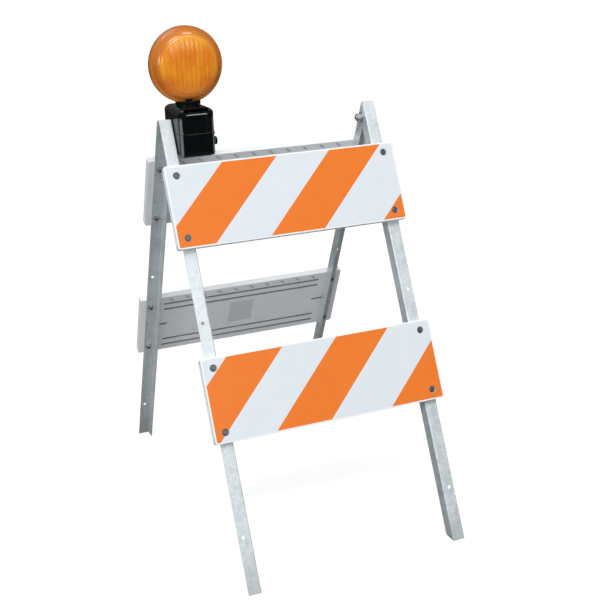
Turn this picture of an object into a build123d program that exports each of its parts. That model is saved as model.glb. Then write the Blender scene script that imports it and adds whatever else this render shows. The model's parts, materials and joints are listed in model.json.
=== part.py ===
"""Folding A-frame road barricade with a two-way warning lamp.

Two equal frames of galvanised angle legs and hollow plastic panels lean against each
other on two pivot bolts. The left bolt also carries the lamp, which stands upright.
Millimetres, +X to the right seen from the front, +Y to the back, +Z up. The origin is on
the floor, midway between the four feet.
"""

from math import asin, cos, degrees, radians, sin
import os

from build123d import *

# --- the whole barricade ---------------------------------------------------------------
LEAN = 25.0  # degrees between each frame and upright when it stands open
LEG_LENGTH = 1143.0
LEG_FLANGE = 31.75
LEG_STEEL = 2.0
HEEL_RADIUS = 3.0
HEEL_X = 257.0  # the angle's heel, from the frame's middle; its main flange points outward
PIVOT_BELOW_TOP = 36.0
PIVOT_DEPTH = 19.05  # pivot axis behind the main flange's outer face
NEST_SHIFT = 1.5  # each frame is this far off centre, so their side flanges pass
STOP_REACH = 16.5  # pivot axis to the slanted stop edge on each side flange
PIVOT_HEIGHT = (LEG_LENGTH - PIVOT_BELOW_TOP) * cos(radians(LEAN))
PIVOT_HEIGHT -= PIVOT_DEPTH * sin(radians(LEAN))
LEG_FACE = -PIVOT_DEPTH
LEG_BACK = LEG_FACE + LEG_STEEL
ACCESSORY_HOLES_AT = (500.0, 1010.0)  # down the leg from its top
ACCESSORY_HOLE = 4.4
PANEL_HOLE = 3.6

# --- panels and their sheeting ----------------------------------------------------------
PANEL_LENGTH = 609.6
PANEL_HEIGHT = 203.2
PANEL_THICK = 19.0
PANEL_SKIN = 2.5
PANEL_CORNER = 6.0
PANEL_EDGE = 1.2
PANEL_FACE = LEG_FACE - PANEL_THICK
PANELS_AT = {"top": 118.0, "bottom": 584.0}  # panel's upper edge, down the leg
PANEL_BOLT_X = 276.0
PANEL_BOLT_INSET = 25.4
RECESS_RADIUS = 9.0
RECESS_DEPTH = 6.0
BOSS_RADIUS = 12.5
GROOVE_LENGTH = 474.0
GROOVE_WIDTH = 7.0
GROOVE_DEPTH = 14.0
GROOVES_FROM_TOP = (26.0, 46.0, 162.0, 184.0)
END_GROOVE = 36.0
END_GROOVE_X = 242.0
MARK_WIDTH = 73.0
MARK_HEIGHT = 80.0
MARK_DEPTH = 1.4
TACK_PITCH = 48.0
TACK_COUNT = 10
TACK_LENGTH = 19.0
TACK_WIDTH = 6.0
TACK_DEPTH = 1.2
TACK_SLANT = 38.0
TACKS_FROM_TOP = 12.0
END_SLOT_WIDTH = 7.0
END_SLOT_DEPTH = 1.2
VENT_RADIUS = 2.5
VENT_X = 150.0
SHEET_THICK = 0.4
SHEET_INSET = 4.0
STRIPES = ((-154.0, -11.0), (131.0, 274.0), (438.0, 600.0))  # along the top panel's upper edge
STRIPE_SHIFT = {"top": 0.0, "bottom": -82.0}

# --- fasteners ---------------------------------------------------------------------------
PANEL_BOLT_RADIUS = 3.175
PANEL_BOLT_FLATS = 11.1
PANEL_BOLT_HEAD = 4.4
PANEL_BOLT_FLANGE = 7.4
PANEL_BOLT_TAIL = 3.0
PANEL_WASHER = (8.0, 1.6)
PANEL_NUT = 5.6
PIVOT_RADIUS = 6.35
RUNNING_FIT = 0.08
PIVOT_FLATS = 19.05
PIVOT_HEAD = 8.0
PIVOT_NUT = 10.8
PIVOT_WASHER = (13.5, 2.4)
PIVOT_TAIL = 4.0
LAMP_BOLT_TAIL = 5.0
GAP = 0.3  # between pieces that turn on each other
SPACER_RADIUS = 12.0
LAMP_SPACER = 0.6

# --- lamp, measured from the pivot axis ----------------------------------------------------
LAMP_X = -210.5
CASE_WIDTH = 88.0
CASE_DEPTH = 132.0
CASE_BOTTOM = -46.0
CASE_TOP = 72.0
CASE_WALL = 3.0
CASE_CORNER = 12.0
SHOULDER_RADIUS = 20.0
BASE_RADIUS = 13.0
SEAM = 11.0
GASKET_THICK = 1.2
BEAD_HEIGHT = 3.0
BEAD_PROUD = 0.8
PAD_HALF_WIDTH = 29.0
PAD_PROUD = 1.5
PAD_CORNER = 8.0
PAD_TOP = 58.0
PAD_BOTTOM = -36.0
SLEEVE_RADIUS = 8.0
SLEEVE_HOLE = 8.05
CASE_SCREW_AT = (34.5, 57.0)
CASE_SCREW_RADIUS = 1.9
CASE_BOSS_RADIUS = 4.5
CASE_SCREW_SEAT = -8.0
CASE_SCREW_TOP = 30.0
LOCK_AT = (-52.0, -11.0)
LOCK_RADIUS = 10.0
LOCK_PROUD = 6.0

CELL_RADIUS = 17.1
CELL_HEIGHT = 61.5
CELL_BASE = -40.0
CELL_NUB = (4.8, 1.6)
CELL_AT = (17.6, 32.0)
PLATE_THICK = 0.5
SPRING_LENGTH = 14.0
SPRING_WIDTH = 8.0
HOLDER = (72.0, 103.0, 2.0)
BOARD = (56.0, 92.0, 1.6)
BOARD_Z = 32.0
SWITCH_AT = (14.0, -34.0)
SWITCH_SIZE = (14.0, 8.0, 6.0)
SLIDER_TRAVEL = 3.0
SLIDER_SIZE = (4.0, 3.0, 5.0)

NECK_RADIUS = 19.0
NECK_BORE = 13.0
COLLAR_RADIUS = 30.5
COLLAR_TOP = 83.0
SWIVEL_WASHER_RADIUS = 23.5
WASHER_TOP = CASE_TOP + 1.0
RETAINER = (24.0, 1.5)
RETAINER_GROOVE = 17.4
LENS_Z = 168.0
LENS_RADIUS = 91.0
LENS_SKIN = 2.4
DOME_TOP = 38.0  # the crown's height over the lens's middle plane
DOME_SPHERE = 530.0
DOME_REACH = 60.0
DOME_SHOULDER = (72.0, 28.0)
DOME_FOOT = (82.0, 8.0)
RIM_HEIGHT = 6.0
LENS_SOCKET = 12.0
RIM_GASKET = 1.2
LENS_SCREW_CIRCLE = 84.5
LENS_SCREW_ANGLES = (90.0, 210.0, 330.0)
LENS_SCREW_RADIUS = 1.5
LENS_SCREW_HEAD = 2.8
LENS_SCREW_SEAT = 4.6
LENS_BOSS_RADIUS = 3.6
LENS_BOSS = 5.0
POST_RADIUS = 9.0
POST_BORE = 6.5
POST_TOP = 147.0
LED_BOARD = 44.0
LED_PITCH = 13.0
LED_RADIUS = 2.5
WIRE_RADIUS = 0.9
PLUG_BOTTOM = 45.0

CENTRED_DOWN = (Align.CENTER, Align.CENTER, Align.MIN)


# --- shapes used throughout ----------------------------------------------------------------
def rod(start, direction, radius, length):
    """A round bar from a point along a direction."""
    return extrude(Plane(start, z_dir=direction) * Circle(radius), length)


def tube(start, direction, radius, bore, length):
    """A round bar with a hole through it."""
    return extrude(Plane(start, z_dir=direction) * (Circle(radius) - Circle(bore)), length)


def hexagon(start, direction, flats, length):
    """A hexagonal bar, given across its flats, with its end corners turned off."""
    bar = extrude(Plane(start, z_dir=direction) * RegularPolygon(flats / 2, 6, major_radius=False), length)
    turned = rod(start, direction, flats * 0.545, length)
    return bar & chamfer(turned.edges(), length * 0.08)


def nut(start, direction, flats, bore, length):
    """A hexagon with a plain bore."""
    return hexagon(start, direction, flats, length) - rod(start, direction, bore, length)


def plate(sketch, back, thickness, z=0.0):
    """A sketch drawn in X and Z, thickened from y = back towards the front."""
    return extrude(Plane((0, back, z), x_dir=(1, 0, 0), z_dir=(0, -1, 0)) * sketch, thickness)


def block(x, y, z):
    """A box given by its lowest and highest values along each axis."""
    box = Box(x[1] - x[0], y[1] - y[0], z[1] - z[0], align=Align.MIN)
    return Pos(x[0], y[0], z[0]) * box


def group(solids):
    """Several separate solids kept as one part."""
    return Compound(children=[solid for shape in solids for solid in shape.solids()])


# --- one frame, upright, with the pivot axis along X through the origin ----------------------
def panel_middle(name):
    return PIVOT_BELOW_TOP - PANELS_AT[name] - PANEL_HEIGHT / 2


def panel_bolt_places(name):
    """X and Z of a panel's four bolts."""
    rise = PANEL_HEIGHT / 2 - PANEL_BOLT_INSET
    middle = panel_middle(name)
    return [(x, middle + z) for x in (-PANEL_BOLT_X, PANEL_BOLT_X) for z in (-rise, rise)]


def leg(side):
    """A galvanised steel angle: main flange under the panels, side flange on its inner edge."""
    main = Pos(HEEL_X, LEG_FACE) * Rectangle(LEG_FLANGE, LEG_STEEL, align=Align.MIN)
    side_flange = Pos(HEEL_X, LEG_FACE) * Rectangle(LEG_STEEL, LEG_FLANGE, align=Align.MIN)
    section = main + side_flange
    heel = section.vertices().sort_by_distance((HEEL_X, LEG_FACE))[0]
    section = fillet(heel, HEEL_RADIUS)
    root = section.vertices().sort_by_distance((HEEL_X + LEG_STEEL, LEG_BACK))[0]
    section = fillet(root, HEEL_RADIUS - LEG_STEEL)
    bar = Pos(0, 0, PIVOT_BELOW_TOP - LEG_LENGTH) * extrude(section, LEG_LENGTH)

    # The side flange's top is cut on a slant, which meets the other frame's leg as a stop.
    cutter = Rot(2 * LEAN - 90, 0, 0) * Pos(HEEL_X, 0, STOP_REACH) * Box(
        3 * LEG_STEEL, 4 * LEG_FLANGE, LEG_FLANGE, align=CENTRED_DOWN
    )
    across = (HEEL_X - LEG_FLANGE, HEEL_X + LEG_FLANGE)
    behind = block(across, (LEG_BACK, 2 * LEG_FLANGE), (-LEG_FLANGE, 2 * PIVOT_BELOW_TOP))
    bar -= cutter & behind

    bar -= rod((HEEL_X - LEG_STEEL, 0, 0), (1, 0, 0), PIVOT_RADIUS + RUNNING_FIT, 3 * LEG_STEEL)
    holes = [(z, PANEL_HOLE) for name in PANELS_AT for x, z in panel_bolt_places(name) if x > 0]
    holes += [(PIVOT_BELOW_TOP - at, ACCESSORY_HOLE) for at in ACCESSORY_HOLES_AT]
    for z, radius in holes:
        bar -= rod((PANEL_BOLT_X, LEG_FACE - LEG_STEEL, z), (0, 1, 0), radius, 3 * LEG_STEEL)
    return bar if side > 0 else mirror(bar, about=Plane.YZ)


def panel(name):
    """A hollow moulded board: two skins, bolt posts, and grooves in the back that join the skins."""
    z = panel_middle(name)
    board = plate(RectangleRounded(PANEL_LENGTH, PANEL_HEIGHT, PANEL_CORNER), LEG_FACE, PANEL_THICK, z)
    faces = board.faces().sort_by(Axis.Y)
    board = fillet(faces[0].edges() + faces[-1].edges(), PANEL_EDGE)

    posts = Sketch() + [Pos(x, place - z) * Circle(BOSS_RADIUS) for x, place in panel_bolt_places(name)]
    grooves = Sketch()
    webs = Sketch()
    for drop in GROOVES_FROM_TOP:
        grooves += Pos(0, PANEL_HEIGHT / 2 - drop) * SlotOverall(GROOVE_LENGTH, GROOVE_WIDTH)
        webs += Pos(0, PANEL_HEIGHT / 2 - drop) * SlotOverall(
            GROOVE_LENGTH + 2 * PANEL_SKIN, GROOVE_WIDTH + 2 * PANEL_SKIN
        )
    for x in (-END_GROOVE_X, END_GROOVE_X):
        grooves += Pos(x, 0) * SlotOverall(END_GROOVE, GROOVE_WIDTH)
        webs += Pos(x, 0) * SlotOverall(END_GROOVE + 2 * PANEL_SKIN, GROOVE_WIDTH + 2 * PANEL_SKIN)
    inside = Rectangle(PANEL_LENGTH - 2 * PANEL_SKIN, PANEL_HEIGHT - 2 * PANEL_SKIN) - posts - webs
    board -= plate(inside, LEG_FACE - PANEL_SKIN, PANEL_THICK - 2 * PANEL_SKIN, z)
    board -= plate(grooves, LEG_FACE, GROOVE_DEPTH, z)
    board -= plate(RectangleRounded(MARK_WIDTH, MARK_HEIGHT, PANEL_CORNER), LEG_FACE, MARK_DEPTH, z)
    tacks = Sketch()
    for i in range(TACK_COUNT):
        place = Pos((i - (TACK_COUNT - 1) / 2) * TACK_PITCH, PANEL_HEIGHT / 2 - TACKS_FROM_TOP)
        tacks += place * Rot(0, 0, TACK_SLANT) * SlotOverall(TACK_LENGTH, TACK_WIDTH)
    board -= plate(tacks, LEG_FACE, TACK_DEPTH, z)

    middle_y = LEG_FACE - PANEL_THICK / 2
    bottom = z - PANEL_HEIGHT / 2
    slot = Box(2 * END_SLOT_DEPTH, END_SLOT_WIDTH, PANEL_HEIGHT - 4 * PANEL_CORNER)
    for side in (-1, 1):
        board -= Pos(side * PANEL_LENGTH / 2, middle_y, z) * slot
        board -= rod((side * VENT_X, middle_y, bottom), (0, 0, 1), VENT_RADIUS, 2 * PANEL_SKIN)
    for x, place in panel_bolt_places(name):
        board -= rod((x, LEG_FACE, place), (0, -1, 0), PANEL_HOLE, PANEL_THICK)
        board -= rod((x, PANEL_FACE, place), (0, 1, 0), RECESS_RADIUS, RECESS_DEPTH)
    return board


def sheeting(name):
    """The white and the orange pieces of reflective sheet on a panel's face."""
    z = panel_middle(name)
    length, height = PANEL_LENGTH - 2 * SHEET_INSET, PANEL_HEIGHT - 2 * SHEET_INSET
    sheet = RectangleRounded(length, height, PANEL_CORNER / 2)
    for x, place in panel_bolt_places(name):
        sheet -= Pos(x, place - z) * Circle(RECESS_RADIUS)
    half = PANEL_HEIGHT / 2
    stripes = Sketch()
    for start, end in STRIPES:
        left, right = start + STRIPE_SHIFT[name], end + STRIPE_SHIFT[name]
        outline = [(left, half), (right, half), (right - 2 * half, -half), (left - 2 * half, -half)]
        stripes += make_face(Polyline(*outline, close=True))
    white = plate(sheet - stripes, PANEL_FACE, SHEET_THICK, z)
    orange = plate(sheet & stripes, PANEL_FACE, SHEET_THICK, z)
    return group([white]), group([orange])


def panel_fasteners():
    """Flange-head bolts from the front, with washers and nuts behind the legs."""
    bolts, washers, nuts = [], [], []
    seat = PANEL_FACE + RECESS_DEPTH
    washer_back = LEG_BACK + PANEL_WASHER[1]
    nut_back = washer_back + PANEL_NUT
    for name in PANELS_AT:
        for x, z in panel_bolt_places(name):
            shank = rod((x, seat, z), (0, 1, 0), PANEL_BOLT_RADIUS, nut_back + PANEL_BOLT_TAIL - seat)
            flange = rod((x, seat, z), (0, -1, 0), PANEL_BOLT_FLANGE, PANEL_BOLT_HEAD * 0.3)
            head = hexagon((x, seat, z), (0, -1, 0), PANEL_BOLT_FLATS, PANEL_BOLT_HEAD)
            bolts.append(shank + flange + head)
            washers.append(tube((x, LEG_BACK, z), (0, 1, 0), PANEL_WASHER[0], PANEL_HOLE, PANEL_WASHER[1]))
            on_bolt = nut((x, washer_back, z), (0, 1, 0), PANEL_BOLT_FLATS, PANEL_BOLT_RADIUS, PANEL_NUT)
            nuts.append(on_bolt)
    return group(bolts), group(washers), group(nuts)


def frame_parts():
    """Every piece of one upright frame, by name."""
    parts = {"left_leg": leg(-1), "right_leg": leg(1)}
    for name in PANELS_AT:
        parts[f"{name}_panel"] = panel(name)
        parts[f"{name}_sheet_white"], parts[f"{name}_sheet_orange"] = sheeting(name)
    parts["panel_bolts"], parts["panel_washers"], parts["panel_nuts"] = panel_fasteners()
    return parts


def standing(part):
    """From the upright frame to the front frame's place, feet cut level with the floor."""
    placed = Pos(NEST_SHIFT, 0, PIVOT_HEIGHT) * Rot(-LEAN, 0, 0) * part
    floor = block((-2 * HEEL_X, 2 * HEEL_X), (-LEG_LENGTH, LEG_LENGTH), (-LEG_FLANGE, 0))
    return placed - floor if placed.bounding_box().min.Z < 0 else placed


# --- pivot hardware, in its final place ------------------------------------------------------
def pivot_hardware():
    """The right pivot bolt and the longer left one that also carries the lamp."""
    inner = HEEL_X - NEST_SHIFT  # near face of the inner side flange
    outer = HEEL_X + NEST_SHIFT + LEG_STEEL  # far face of the outer one
    washer_radius, washer_thick = PIVOT_WASHER
    washer_bore = PIVOT_RADIUS + 2 * RUNNING_FIT
    z = PIVOT_HEIGHT
    left, right = (-1, 0, 0), (1, 0, 0)

    # Right side: the front frame's flange is the outer one and holds the head.
    head_seat = outer + washer_thick
    nut_seat = inner - GAP - washer_thick
    end = nut_seat - PIVOT_NUT - PIVOT_TAIL
    bolt = rod((head_seat, 0, z), left, PIVOT_RADIUS, head_seat - end)
    bolt += hexagon((head_seat, 0, z), right, PIVOT_FLATS, PIVOT_HEAD)
    washers = [
        tube((outer, 0, z), right, washer_radius, washer_bore, washer_thick),
        tube((nut_seat, 0, z), right, washer_radius, washer_bore, washer_thick),
    ]
    right_nut = nut((nut_seat, 0, z), left, PIVOT_FLATS, PIVOT_RADIUS, PIVOT_NUT)

    # Left side: the rear frame's flange is the outer one; the bolt goes on through the lamp.
    lamp_face = LAMP_X + CASE_WIDTH / 2
    lamp_head_seat = -outer - GAP - washer_thick
    lamp_nut_seat = lamp_face + GAP + washer_thick
    lamp_end = lamp_nut_seat + PIVOT_NUT + LAMP_BOLT_TAIL
    lamp_bolt = rod((lamp_head_seat, 0, z), right, PIVOT_RADIUS, lamp_end - lamp_head_seat)
    lamp_bolt += hexagon((lamp_head_seat, 0, z), left, PIVOT_FLATS, PIVOT_HEAD)
    lamp_washers = [
        tube((lamp_head_seat, 0, z), right, washer_radius, washer_bore, washer_thick),
        tube((lamp_nut_seat, 0, z), left, washer_radius, washer_bore, washer_thick),
    ]
    lamp_nut = nut((lamp_nut_seat, 0, z), right, PIVOT_FLATS, PIVOT_RADIUS, PIVOT_NUT)

    # Nylon spacers keep the side flanges and the lamp apart.
    between = 2 * NEST_SHIFT - LEG_STEEL - GAP
    spacers = [
        tube((HEEL_X + NEST_SHIFT, 0, z), left, SPACER_RADIUS, washer_bore, between),
        tube((-inner - LEG_STEEL, 0, z), left, SPACER_RADIUS, washer_bore, between),
        tube((-inner, 0, z), right, SPACER_RADIUS, washer_bore, LAMP_SPACER),
    ]
    return {
        "right_pivot_bolt": bolt,
        "right_pivot_washers": group(washers),
        "right_pivot_nut": right_nut,
        "lamp_bolt": lamp_bolt,
        "lamp_bolt_washers": group(lamp_washers),
        "lamp_bolt_nut": lamp_nut,
        "pivot_spacers": group(spacers),
    }


# --- lamp case, with the bolt axis along X through the origin ---------------------------------
def case_form(inset):
    """The case's outer form drawn in by an inset: a plan crossed with a side and a front view."""
    width, depth = CASE_WIDTH - 2 * inset, CASE_DEPTH - 2 * inset
    bottom, top = CASE_BOTTOM + inset, CASE_TOP - inset

    def view(span):
        outline = Pos(0, (bottom + top) / 2) * Rectangle(span, top - bottom)
        outline = fillet(outline.vertices().group_by(Axis.Y)[-1], SHOULDER_RADIUS - inset)
        return fillet(outline.vertices().group_by(Axis.Y)[0], BASE_RADIUS - inset)

    plan = Pos(0, 0, bottom) * extrude(RectangleRounded(width, depth, CASE_CORNER - inset), top - bottom)
    across = extrude(Plane.YZ * view(depth), CASE_WIDTH, both=True)
    along = extrude(Plane.XZ * view(width), CASE_DEPTH, both=True)
    return plan & along & across


def slab(bottom, top):
    """Everything of the case between two heights."""
    return block((-CASE_WIDTH, CASE_WIDTH), (-CASE_DEPTH, CASE_DEPTH), (bottom, top))


def corner_places():
    x, y = CASE_SCREW_AT
    return [(i * x, j * y) for i in (-1, 1) for j in (-1, 1)]


def pads(bottom, top):
    """The raised flat on the front and on the back of the case, between two heights."""
    height = top - bottom
    outline = Pos(0, (bottom + top) / 2) * Rectangle(2 * PAD_HALF_WIDTH, height)
    free = outline.vertices().group_by(Axis.Y)[-1 if top > SEAM + GASKET_THICK else 0]
    outline = fillet(free, PAD_CORNER)
    reach = CASE_DEPTH / 2
    front = plate(outline, 1 - reach, 1 + PAD_PROUD)
    front = chamfer(front.faces().sort_by(Axis.Y)[0].edges(), PAD_PROUD * 0.6)
    return front + mirror(front, about=Plane.XZ)


def battery_tub():
    """The lower half of the case: holds the cells and takes the bolt sleeve."""
    tub = (case_form(0) - case_form(CASE_WALL)) & slab(CASE_BOTTOM, SEAM)
    tub += pads(PAD_BOTTOM, SEAM)
    for x, y in corner_places():
        tub += rod((x, y, CASE_BOTTOM), (0, 0, 1), CASE_BOSS_RADIUS + 1, SEAM - CASE_BOTTOM) & case_form(1)
        tub -= rod((x, y, CASE_BOTTOM), (0, 0, 1), CASE_BOSS_RADIUS - 0.5, CASE_SCREW_SEAT - CASE_BOTTOM)
        tub -= rod((x, y, CASE_BOTTOM), (0, 0, 1), CASE_SCREW_RADIUS + 0.2, SEAM - CASE_BOTTOM)
    tub -= rod((-CASE_WIDTH, 0, 0), (1, 0, 0), SLEEVE_HOLE, 2 * CASE_WIDTH)
    tub -= rod((CASE_WIDTH / 2 - 2 * CASE_WALL, *LOCK_AT), (1, 0, 0), 3.1, 4 * CASE_WALL)
    return tub


def case_cover():
    """The upper half of the case, with a bead round the seam and a hole for the lamp's neck."""
    low = SEAM + GASKET_THICK
    cover = (case_form(0) - case_form(CASE_WALL)) & slab(low, CASE_TOP)
    bead = RectangleRounded(CASE_WIDTH, CASE_DEPTH + 2 * BEAD_PROUD, CASE_CORNER)
    bead -= RectangleRounded(CASE_WIDTH - CASE_WALL, CASE_DEPTH - CASE_WALL, CASE_CORNER - CASE_WALL / 2)
    cover += Pos(0, 0, low) * extrude(bead, BEAD_HEIGHT)
    cover += pads(low, PAD_TOP)
    for x, y in corner_places():
        boss = rod((x, y, low), (0, 0, 1), CASE_BOSS_RADIUS, CASE_TOP - low) & case_form(1)
        cover += boss
        cover -= rod((x, y, low), (0, 0, 1), CASE_SCREW_RADIUS + 0.05, CASE_SCREW_TOP + 1 - low)
    cover -= rod((0, 0, CASE_TOP), (0, 0, -1), NECK_RADIUS + RUNNING_FIT, 4 * CASE_WALL)
    return cover


def case_gasket():
    width, depth = CASE_WIDTH - 2 * CASE_WALL, CASE_DEPTH - 2 * CASE_WALL
    ring = RectangleRounded(CASE_WIDTH, CASE_DEPTH, CASE_CORNER)
    ring -= RectangleRounded(width, depth, CASE_CORNER - CASE_WALL)
    for x, y in corner_places():
        ring += Pos(x, y) * Circle(CASE_BOSS_RADIUS)
        ring -= Pos(x, y) * Circle(CASE_SCREW_RADIUS + 0.2)
    return Pos(0, 0, SEAM) * extrude(ring, GASKET_THICK)


def case_screws():
    screws = []
    for x, y in corner_places():
        shank = rod((x, y, CASE_SCREW_SEAT), (0, 0, 1), CASE_SCREW_RADIUS, CASE_SCREW_TOP - CASE_SCREW_SEAT)
        head = rod((x, y, CASE_SCREW_SEAT), (0, 0, -1), CASE_BOSS_RADIUS - 1, 2.6)
        slot = Pos(x, y, CASE_SCREW_SEAT - 2.6) * Box(5, 1, 2)
        screws.append(shank + head - slot)
    return group(screws)


def lock_screw():
    """The keyed screw on the case's side, with a round knurled head and a driver recess."""
    face = CASE_WIDTH / 2
    y, z = LOCK_AT
    head = rod((face, y, z), (1, 0, 0), LOCK_RADIUS, LOCK_PROUD)
    head = chamfer(head.faces().sort_by(Axis.X)[-1].edges(), 1.2)
    recess = extrude(Plane((face + LOCK_PROUD, y, z), z_dir=(-1, 0, 0)) * RegularPolygon(4, 5), 3)
    return head - recess + rod((face, y, z), (-1, 0, 0), 3.0, 2 * CASE_WALL)


# --- inside the case ---------------------------------------------------------------------------
def cell_places():
    x, y = CELL_AT
    return [(i * x, j * y) for i in (-1, 1) for j in (-1, 1)]


def cells():
    """Four round cells and the metal nub on each one's upper end."""
    jackets, nubs = [], []
    nub_radius, nub_height = CELL_NUB
    height = CELL_HEIGHT - nub_height
    for x, y in cell_places():
        jacket = rod((x, y, CELL_BASE), (0, 0, 1), CELL_RADIUS, height)
        jackets.append(fillet(jacket.edges().filter_by(GeomType.CIRCLE), 1.2))
        nubs.append(rod((x, y, CELL_BASE + height), (0, 0, 1), nub_radius, nub_height))
    return group(jackets), group(nubs)


def contacts():
    """Flat strips under and over the cells, and the bowed springs that press on their bases."""
    x, y = CELL_AT
    floor = CASE_BOTTOM + CASE_WALL
    top = CELL_BASE + CELL_HEIGHT
    strips, springs = [], []
    for side in (-1, 1):
        strips.append(Pos(0, side * y, floor) * Box(2 * x + 16, 14, PLATE_THICK, align=CENTRED_DOWN))
        strips.append(Pos(side * x, 0, top) * Box(12, 2 * y + 12, PLATE_THICK, align=CENTRED_DOWN))
    rise = CELL_BASE - floor - PLATE_THICK
    half, thick = SPRING_LENGTH / 2, PLATE_THICK
    under = ThreePointArc((-half, 0), (0, rise - thick), (half, 0))
    over = ThreePointArc((half, thick), (0, rise), (-half, thick))
    leaf = make_face(under + Line((half, 0), (half, thick)) + over + Line((-half, thick), (-half, 0)))
    for place_x, place_y in cell_places():
        place = Plane((place_x, place_y, floor + thick), x_dir=(1, 0, 0), z_dir=(0, -1, 0))
        springs.append(extrude(place * leaf, SPRING_WIDTH / 2, both=True))
    return group(strips), group(springs)


def cell_holder():
    """The insulating plate that keeps the cells down and carries the circuit board."""
    width, depth, thick = HOLDER
    z = CELL_BASE + CELL_HEIGHT + PLATE_THICK
    return Pos(0, 0, z) * extrude(RectangleRounded(width, depth, 6), thick)


def board_posts():
    base = CELL_BASE + CELL_HEIGHT + PLATE_THICK + HOLDER[2]
    x, y = BOARD[0] / 2 - 5, BOARD[1] / 2 - 5
    corners = [(i * x, j * y) for i in (-1, 1) for j in (-1, 1)]
    return group([rod((*corner, base), (0, 0, 1), 3, BOARD_Z - base) for corner in corners])


def circuit_board():
    width, depth, thick = BOARD
    board = extrude(RectangleRounded(width, depth, 3), thick)
    return Pos(0, 0, BOARD_Z) * board


def board_components():
    """A flasher chip, a round capacitor, two resistors and the terminal block."""
    z = BOARD_Z + BOARD[2]
    chip = Pos(-8, 28, z) * Box(10, 8, 3.5, align=CENTRED_DOWN)
    capacitor = rod((14, 26, z), (0, 0, 1), 5, 9)
    resistors = [rod((x, -4, z + 2.4), (0, 1, 0), 1.2, 9) for x in (-20, -15)]
    terminals = Pos(-14, -34, z) * Box(16, 9, 8, align=CENTRED_DOWN)
    return group([chip, capacitor, terminals] + resistors)


def slide_switch():
    """The switch's housing, slotted along X, and the slider at its left end."""
    x, y = SWITCH_AT
    width, depth, height = SWITCH_SIZE
    z = BOARD_Z + BOARD[2]
    slot_floor = z + height - 3
    length, breadth, tall = SLIDER_SIZE
    slot = Box(length + SLIDER_TRAVEL + 4 * GAP, breadth + 2 * GAP, height, align=CENTRED_DOWN)
    body = Pos(x, y, z) * Box(width, depth, height, align=CENTRED_DOWN) - Pos(x, y, slot_floor) * slot
    slider = Box(length, breadth, tall, align=CENTRED_DOWN)
    return body, Pos(x - SLIDER_TRAVEL / 2, y, slot_floor + GAP) * slider


# --- lamp head -----------------------------------------------------------------------------------
def lens_wall(drawn_in):
    """Half section of a lens half's outer face, or of its inner face when drawn in by the skin.

    In X the distance from the lens's axis and in Y the distance from its middle plane: a
    crown centred on the axis, a rounded shoulder, the sloping wall and the rim.
    """
    reach = DOME_REACH - drawn_in / 4
    sphere = DOME_SPHERE - drawn_in
    turn = degrees(asin(reach / sphere))
    crown = CenterArc((0, DOME_TOP - DOME_SPHERE), sphere, 90, -turn)
    edge = crown @ 1
    shoulder = (DOME_SHOULDER[0] - 0.8 * drawn_in, DOME_SHOULDER[1] - 0.6 * drawn_in)
    bulge = ((edge.X + shoulder[0]) / 2 + 1.7, (edge.Y + shoulder[1]) / 2 + 1.0)
    foot = (DOME_FOOT[0] - 0.75 * drawn_in, DOME_FOOT[1] - 0.75 * drawn_in)
    rim = (LENS_RADIUS - 1 - 0.6 * drawn_in, RIM_HEIGHT - 0.85 * drawn_in)
    return crown + ThreePointArc(edge, bulge, shoulder) + Polyline(shoulder, foot, rim), crown @ 0, rim


def lens_screw_places():
    angles = [radians(angle) for angle in LENS_SCREW_ANGLES]
    return [(LENS_SCREW_CIRCLE * cos(angle), LENS_SCREW_CIRCLE * sin(angle)) for angle in angles]


def lens_half(side):
    """A shallow dome on a sloping wall, with a rim that meets the other half at a gasket."""
    gap = RIM_GASKET / 2
    outer, top, rim = lens_wall(0)
    inner, under, inner_rim = lens_wall(LENS_SKIN)
    lip = Polyline(rim, (LENS_RADIUS, rim[1] - 1), (LENS_RADIUS, gap), (inner_rim[0], gap), inner_rim)
    outline = outer + lip + inner + Line(under, top)
    half = revolve(make_face(outline), Axis.Y)
    for x, z in lens_screw_places():
        half += rod((x, gap, z), (0, 1, 0), LENS_BOSS_RADIUS, LENS_BOSS)
    for x, z in lens_screw_places():
        if side > 0:
            through = rod((x, -1, z), (0, 1, 0), LENS_SCREW_RADIUS + 0.1, 13)
            half -= through + rod((x, LENS_SCREW_SEAT, z), (0, 1, 0), LENS_SCREW_HEAD + 0.2, 8)
        else:
            half -= rod((x, -1, z), (0, 1, 0), LENS_SCREW_RADIUS + 0.05, 1 + LENS_SCREW_SEAT)
    half -= rod((0, 0, -LENS_RADIUS - 1), (0, 0, 1), LENS_SOCKET, 14)
    half = half if side > 0 else mirror(half, about=Plane.XZ)
    return Pos(0, 0, LENS_Z) * half


def lens_screws():
    screws = []
    for x, rise in lens_screw_places():
        z = LENS_Z + rise
        shank = rod((x, -4.2, z), (0, 1, 0), LENS_SCREW_RADIUS, 4.2 + LENS_SCREW_SEAT)
        head = rod((x, LENS_SCREW_SEAT, z), (0, 1, 0), LENS_SCREW_HEAD, 1.6)
        screws.append(shank + head - Pos(x, LENS_SCREW_SEAT + 1.6, z) * Box(4, 1.2, 0.8))
    return group(screws)


def lens_gasket():
    ring = tube((0, -RIM_GASKET / 2, LENS_Z), (0, 1, 0), LENS_RADIUS, LENS_RADIUS - LENS_SKIN, RIM_GASKET)
    return ring - rod((0, 0, LENS_Z - LENS_RADIUS - 1), (0, 0, 1), LENS_SOCKET, 14)


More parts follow.
